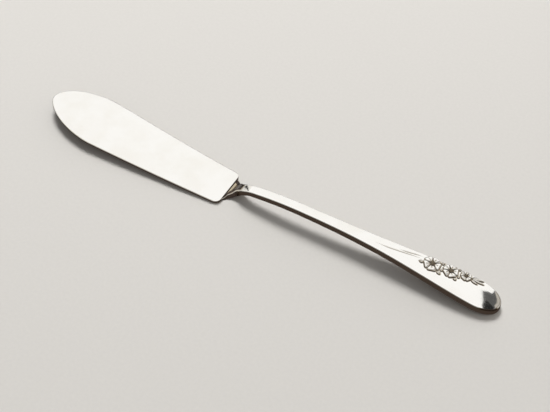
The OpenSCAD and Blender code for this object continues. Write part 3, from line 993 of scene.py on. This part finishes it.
floorMesh = bpy.data.meshes.new("floor")
floorMesh.from_pydata(square(studio["floorSize"], 0), [], [(0, 1, 2, 3)])
floor = bpy.data.objects.new("floor", floorMesh)
floor.location.z = -0.01 * mm
bpy.context.scene.collection.objects.link(floor)
board = bpy.data.materials.new("mattPaleBoard")  # matt pale board: no gloss, so the shadow stays clean
board.use_nodes = True
boardTree = board.node_tree
boardTree.nodes.clear()
grainPlace = addNode(boardTree, "ShaderNodeTexCoord").outputs["Object"]
grain = addNode(boardTree, "ShaderNodeTexNoise", inputs={
    "Vector": grainPlace, "Scale": 1 / (studio["boardGrain"] * mm), "Detail": 2.0})
grainRange = addNode(boardTree, "ShaderNodeMapRange", inputs={
    "Value": grain.outputs["Fac"], "To Min": 0.97, "To Max": 1.03})
boardColour = addNode(boardTree, "ShaderNodeVectorMath", {"operation": "SCALE"}, {
    0: linear(studio["floor"])[:3], "Scale": grainRange.outputs["Result"]})
boardSurface = addNode(boardTree, "ShaderNodeBsdfPrincipled", inputs={
    "Base Color": boardColour.outputs["Vector"], "Roughness": 0.9, "Specular IOR Level": 0.2})
addNode(boardTree, "ShaderNodeOutputMaterial", inputs={"Surface": boardSurface.outputs["BSDF"]})
floorMesh.materials.append(board)

world = bpy.data.worlds.new("softTent")
bpy.context.scene.world = world
world.use_nodes = True
worldTree = world.node_tree
worldTree.nodes.clear()
path = addNode(worldTree, "ShaderNodeLightPath")
seen = addNode(worldTree, "ShaderNodeMath", {"operation": "ADD"}, {
    0: path.outputs["Is Camera Ray"], 1: path.outputs["Is Glossy Ray"]})
seen = addNode(worldTree, "ShaderNodeMath", {"operation": "ADD", "use_clamp": True}, {
    0: seen.outputs["Value"], 1: path.outputs["Is Transmission Ray"]})
towards = addNode(worldTree, "ShaderNodeTexCoord").outputs["Generated"]
height = addNode(worldTree, "ShaderNodeSeparateXYZ", inputs={"Vector": towards}).outputs["Z"]
facing = addNode(worldTree, "ShaderNodeVectorMath", {"operation": "DOT_PRODUCT"}, {
    0: towards, 1: direction(*studio["windowFrom"])}).outputs["Value"]
room = addNode(worldTree, "ShaderNodeMapRange", {"interpolation_type": "SMOOTHSTEP"}, {
    "Value": facing, "From Min": 0.1, "From Max": 0.9,
    "To Min": studio["roomSeen"], "To Max": studio["windowSeen"]})
upward = addNode(worldTree, "ShaderNodeMapRange", {"interpolation_type": "SMOOTHSTEP"}, {
    "Value": height, "From Min": 0.08, "From Max": 0.45})
tent = addNode(worldTree, "ShaderNodeMix", {"data_type": "FLOAT"}, {
    0: upward.outputs["Result"], 2: studio["horizonSeen"], 3: room.outputs["Result"]})
strength = addNode(worldTree, "ShaderNodeMix", {"data_type": "FLOAT"}, {
    0: seen.outputs["Value"], 2: studio["skyLight"], 3: tent.outputs[0]})
sky = addNode(worldTree, "ShaderNodeBackground", inputs={
    "Color": linear("#ffffff"), "Strength": strength.outputs[0]})
addNode(worldTree, "ShaderNodeOutputWorld", inputs={"Surface": sky.outputs["Background"]})

keyLight = bpy.data.lights.new("keySoftbox", "AREA")
keyLight.shape = "DISK"
keyLight.size = studio["keySize"]
keyLight.energy = studio["keyPower"]
key = bpy.data.objects.new("keySoftbox", keyLight)
toKey = Vector(studio["keyFrom"]).normalized()
key.location = toKey * studio["keyDistance"]
key.rotation_mode = "QUATERNION"
key.rotation_quaternion = toKey.to_track_quat("Z", "Y")
key.visible_glossy = False
bpy.context.scene.collection.objects.link(key)
print("studio ready")

photoView = {
    "azimuth": 149.97,  # as the cards' azimuths are counted
    "elevation": 50,
    "distance": 381.94,
    "aim": (5.81, -0.375, 0),
    "halfAngle": 14,  # degrees, half the width of the picture
}
lens = bpy.data.cameras.new("photoCamera")
lens.sensor_width = 36
lens.lens = lens.sensor_width / 2 / math.tan(math.radians(photoView["halfAngle"]))
lens.clip_start, lens.clip_end = 0.01, 50
camera = bpy.data.objects.new("photoCamera", lens)
back = direction(photoView["azimuth"], photoView["elevation"])
camera.location = (Vector(photoView["aim"]) + back * photoView["distance"]) * mm
camera.rotation_mode = "QUATERNION"
camera.rotation_quaternion = back.to_track_quat("Z", "Y")
bpy.context.scene.collection.objects.link(camera)
bpy.context.scene.camera = camera
bpy.context.scene.view_settings.view_transform = "Standard"
